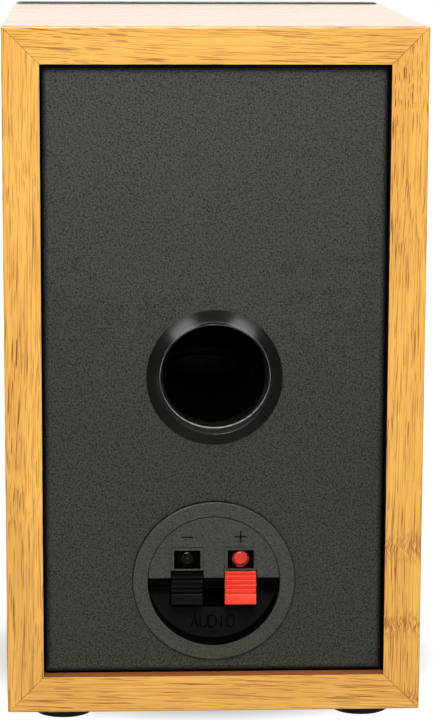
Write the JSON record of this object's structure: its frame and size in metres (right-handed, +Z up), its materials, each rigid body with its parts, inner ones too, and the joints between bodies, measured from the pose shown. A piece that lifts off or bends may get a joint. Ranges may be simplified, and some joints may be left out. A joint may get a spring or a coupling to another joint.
{
  "type": "bookshelf speaker",
  "caption": "Two-way bookshelf loudspeaker in an oak-look cabinet: black rear panel with a reflex port and a round spring-clip terminal, removable black grille in front.",
  "frame": {"origin": "middle of the bounding box, on the surface that the rubber feet stand on", "axes": "+Z up; the grille faces -Y and the rear panel with the port and terminals faces +Y; X runs across the width"},
  "size_m": [0.17, 0.2026, 0.2855],
  "materials": {
    "oak_veneer": "light oak woodgrain vinyl wrapped round MDF, satin",
    "black_vinyl_board": "MDF faced with pebbled black vinyl",
    "black_board": "MDF, painted black",
    "black_rubber": "moulded rubber",
    "grille_fabric": "black knitted polyester grille cloth",
    "gloss_black_plastic": "polished ABS",
    "black_plastic": "moulded ABS, smooth",
    "textured_black_plastic": "spark-textured ABS",
    "red_plastic": "coloured ABS",
    "tinned_brass": "tin-plated stamped brass",
    "spring_steel": "bent spring strip",
    "zinc_steel": "zinc-plated turned steel",
    "black_steel": "pressed steel, black powder coat",
    "screw_black": "black oxide steel",
    "ferrite": "ground ferrite",
    "cone_paper": "coated pulp",
    "spider_cloth": "resin-dipped cotton",
    "dome_silk": "doped silk",
    "coil_copper": "enamelled copper wire",
    "former_kapton": "polyimide film",
    "tinned_wire": "braided or tinned copper",
    "board_laminate": "phenolic paper laminate",
    "white_plastic": "nylon",
    "capacitor_sleeve": "shrink sleeve",
    "resistor_cement": "cement case",
    "red_wire": "PVC insulation",
    "black_wire": "PVC insulation",
    "wadding": "polyester batting"
  },
  "bodies": {
    "cabinet": {"top_board": "oak_veneer", "bottom_board": "oak_veneer", "left_board": "oak_veneer", "right_board": "oak_veneer", "rear_panel": "black_vinyl_board", "front_baffle": "black_board", "rubber_feet": "black_rubber", "driver_screws": "screw_black", "grille_sockets": "black_rubber", "port_flange": "gloss_black_plastic", "port_tube": "black_plastic", "terminal_cup": "textured_black_plastic", "clip_frame_pos": "textured_black_plastic", "clip_frame_neg": "textured_black_plastic", "clip_contact_pos": "tinned_brass", "clip_contact_neg": "tinned_brass", "clip_spring_pos": "spring_steel", "clip_spring_neg": "spring_steel", "woofer_basket": "black_steel", "woofer_gasket": "black_rubber", "woofer_top_plate": "zinc_steel", "woofer_magnet": "ferrite", "woofer_back_plate": "zinc_steel", "woofer_surround": "black_rubber", "woofer_spider": "spider_cloth", "woofer_terminal_strip": "board_laminate", "woofer_leads": "tinned_wire", "driver_terminal_tabs": "tinned_brass", "tweeter_faceplate": "black_plastic", "tweeter_surround": "dome_silk", "tweeter_top_plate": "zinc_steel", "tweeter_magnet": "ferrite", "tweeter_back_plate": "zinc_steel", "crossover_board": "board_laminate", "crossover_standoffs": "white_plastic", "crossover_screws": "zinc_steel", "inductor_bobbin": "white_plastic", "inductor_winding": "coil_copper", "crossover_capacitor": "capacitor_sleeve", "crossover_resistor": "resistor_cement", "component_leads": "tinned_wire", "input_wire_red": "red_wire", "input_wire_black": "black_wire", "woofer_wire_red": "red_wire", "woofer_wire_black": "black_wire", "tweeter_wire_red": "red_wire", "tweeter_wire_black": "black_wire", "damping_wadding": "wadding"},
    "grille": {"grille_frame": "black_board", "grille_cloth": "grille_fabric", "grille_pegs": "black_plastic"},
    "lever_pos": {"clip_lever_pos": "red_plastic"},
    "lever_neg": {"clip_lever_neg": "black_plastic"},
    "woofer_cone_body": {"woofer_cone": "cone_paper", "woofer_dust_cap": "cone_paper", "woofer_coil_former": "former_kapton", "woofer_voice_coil": "coil_copper"},
    "tweeter_dome_body": {"tweeter_dome": "dome_silk", "tweeter_voice_coil": "coil_copper"}
  },
  "joints": [
    {"name": "lever_pos_press", "type": "hinge", "parent": "cabinet", "child": "lever_pos", "pos_m": [-0.011, 0.09275, 0.0705], "axis": [-1, 0, 0], "range_deg": [0, 9], "stiffness_Nm_per_rad": 0.1, "springref_deg": -2.86, "deforming": ["clip_spring_pos"]},
    {"name": "lever_neg_press", "type": "hinge", "parent": "cabinet", "child": "lever_neg", "pos_m": [0.011, 0.09275, 0.0705], "axis": [-1, 0, 0], "range_deg": [0, 9], "stiffness_Nm_per_rad": 0.1, "springref_deg": -2.86, "deforming": ["clip_spring_neg"]},
    {"name": "woofer_cone_travel", "type": "slide", "parent": "cabinet", "child": "woofer_cone_body", "axis": [0, -1, 0], "range_m": [-0.004, 0.004], "stiffness_N_per_m": 1200, "deforming": ["woofer_surround", "woofer_spider", "woofer_leads"]},
    {"name": "tweeter_dome_travel", "type": "slide", "parent": "cabinet", "child": "tweeter_dome_body", "axis": [0, -1, 0], "range_m": [-0.0003, 0.0003], "stiffness_N_per_m": 1000, "deforming": ["tweeter_surround"]},
    {"name": "grille_pull_off", "type": "slide", "parent": "cabinet", "child": "grille", "axis": [0, -1, 0], "range_m": [0, 0.03]}
  ]
}
